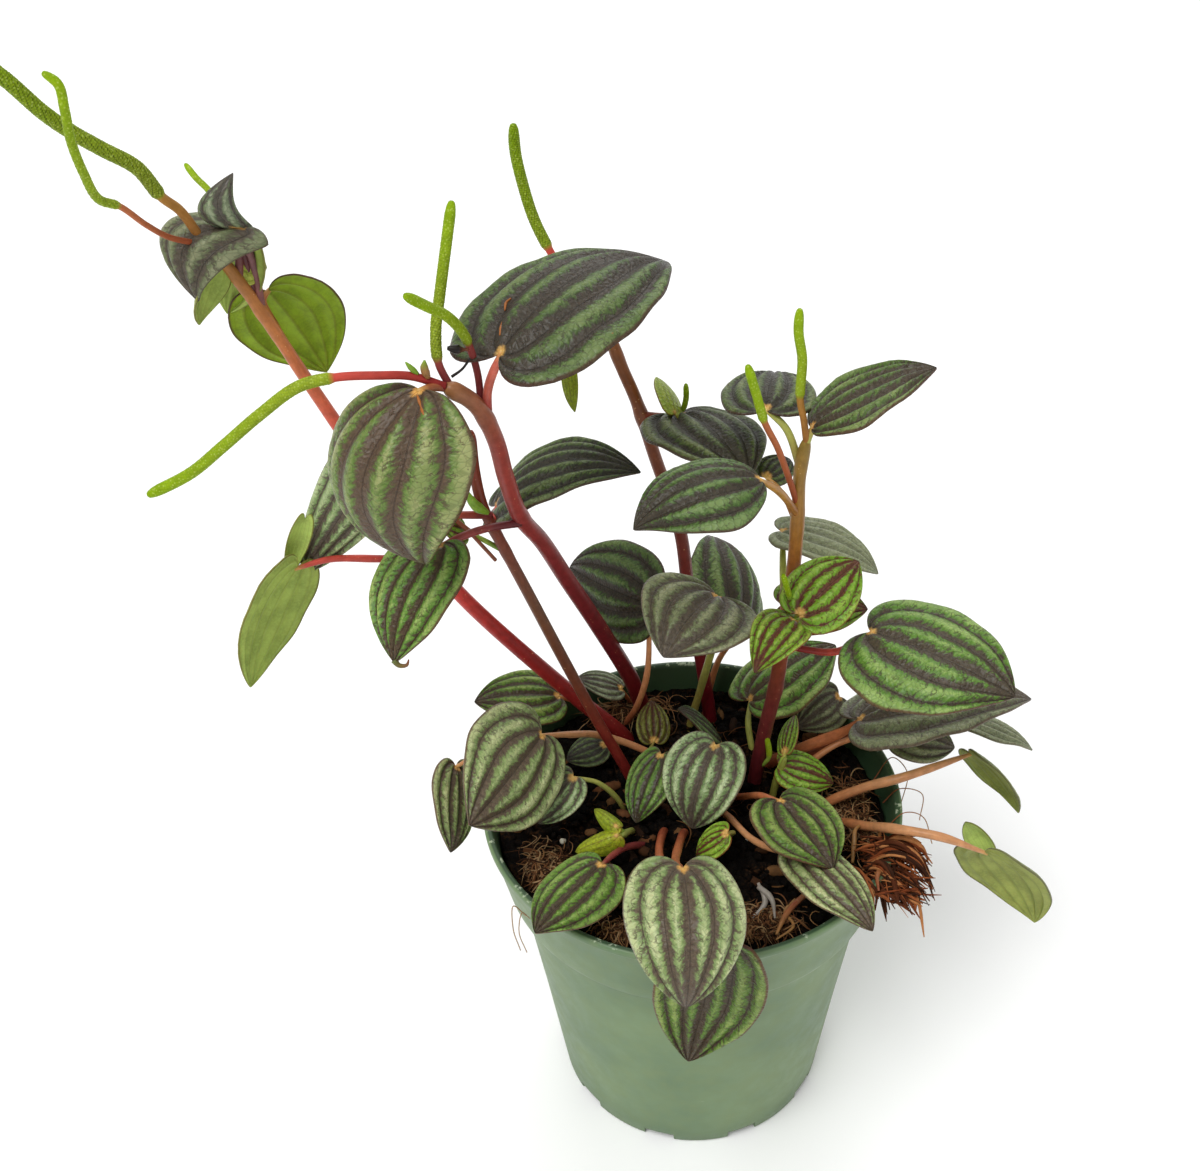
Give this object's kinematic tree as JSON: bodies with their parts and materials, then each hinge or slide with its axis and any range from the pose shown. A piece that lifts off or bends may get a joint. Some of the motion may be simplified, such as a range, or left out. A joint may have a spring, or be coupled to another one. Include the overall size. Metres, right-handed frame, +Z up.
{
  "type": "potted plant",
  "caption": "Leafy peperomia with ribbed heart-shaped leaves on red stems and slim upright flower spikes, standing in a round tapered nursery pot.",
  "frame": {"origin": "centre of the pot's flat underside, on the surface that it stands on", "axes": "+Z up along the pot's axis; -Y towards the viewer of the picture, +X to the viewer's right"},
  "size_m": [0.2165, 0.1436, 0.2884],
  "materials": {
    "pot": "satin sage green",
    "potting_mix": "dark wet crumbs",
    "coir": "loose brown fibres",
    "stems": "waxy red to brown stems with green leaves and spikes",
    "young_leaves": "waxy lime green",
    "grey_leaves": "waxy grey-green with dark veins",
    "leaves": "waxy green with dark brown-purple veins"
  },
  "bodies": {
    "root": {"pot": "pot", "potting_mix": "potting_mix", "coir_front": "coir", "coir_left": "coir", "coir_over_rim": "coir", "flower_stem_1": "stems", "flower_stem_2": "stems", "flower_stem_3": "stems", "flower_stem_4": "stems", "flower_stem_5": "stems", "shoot_left": "young_leaves", "shoot_right": "young_leaves", "leaf_back_1": "leaves", "leaf_back_2": "leaves", "leaf_back_3": "leaves", "leaf_back_4": "leaves", "leaf_centre_1": "grey_leaves", "leaf_centre_2": "leaves", "leaf_centre_3": "leaves", "leaf_centre_4": "leaves", "leaf_centre_5": "leaves", "leaf_centre_6": "leaves", "leaf_front_1": "leaves", "leaf_front_2": "leaves", "leaf_front_3": "leaves", "leaf_front_4": "leaves", "leaf_front_5": "leaves", "leaf_left_1": "leaves", "leaf_left_2": "leaves", "leaf_left_3": "leaves", "leaf_left_4": "leaves", "leaf_left_5": "leaves", "leaf_left_6": "grey_leaves", "leaf_right_1": "leaves", "leaf_right_2": "leaves", "leaf_right_3": "grey_leaves", "leaf_right_4": "leaves", "leaf_right_5": "leaves"}
  },
  "joints": []
}
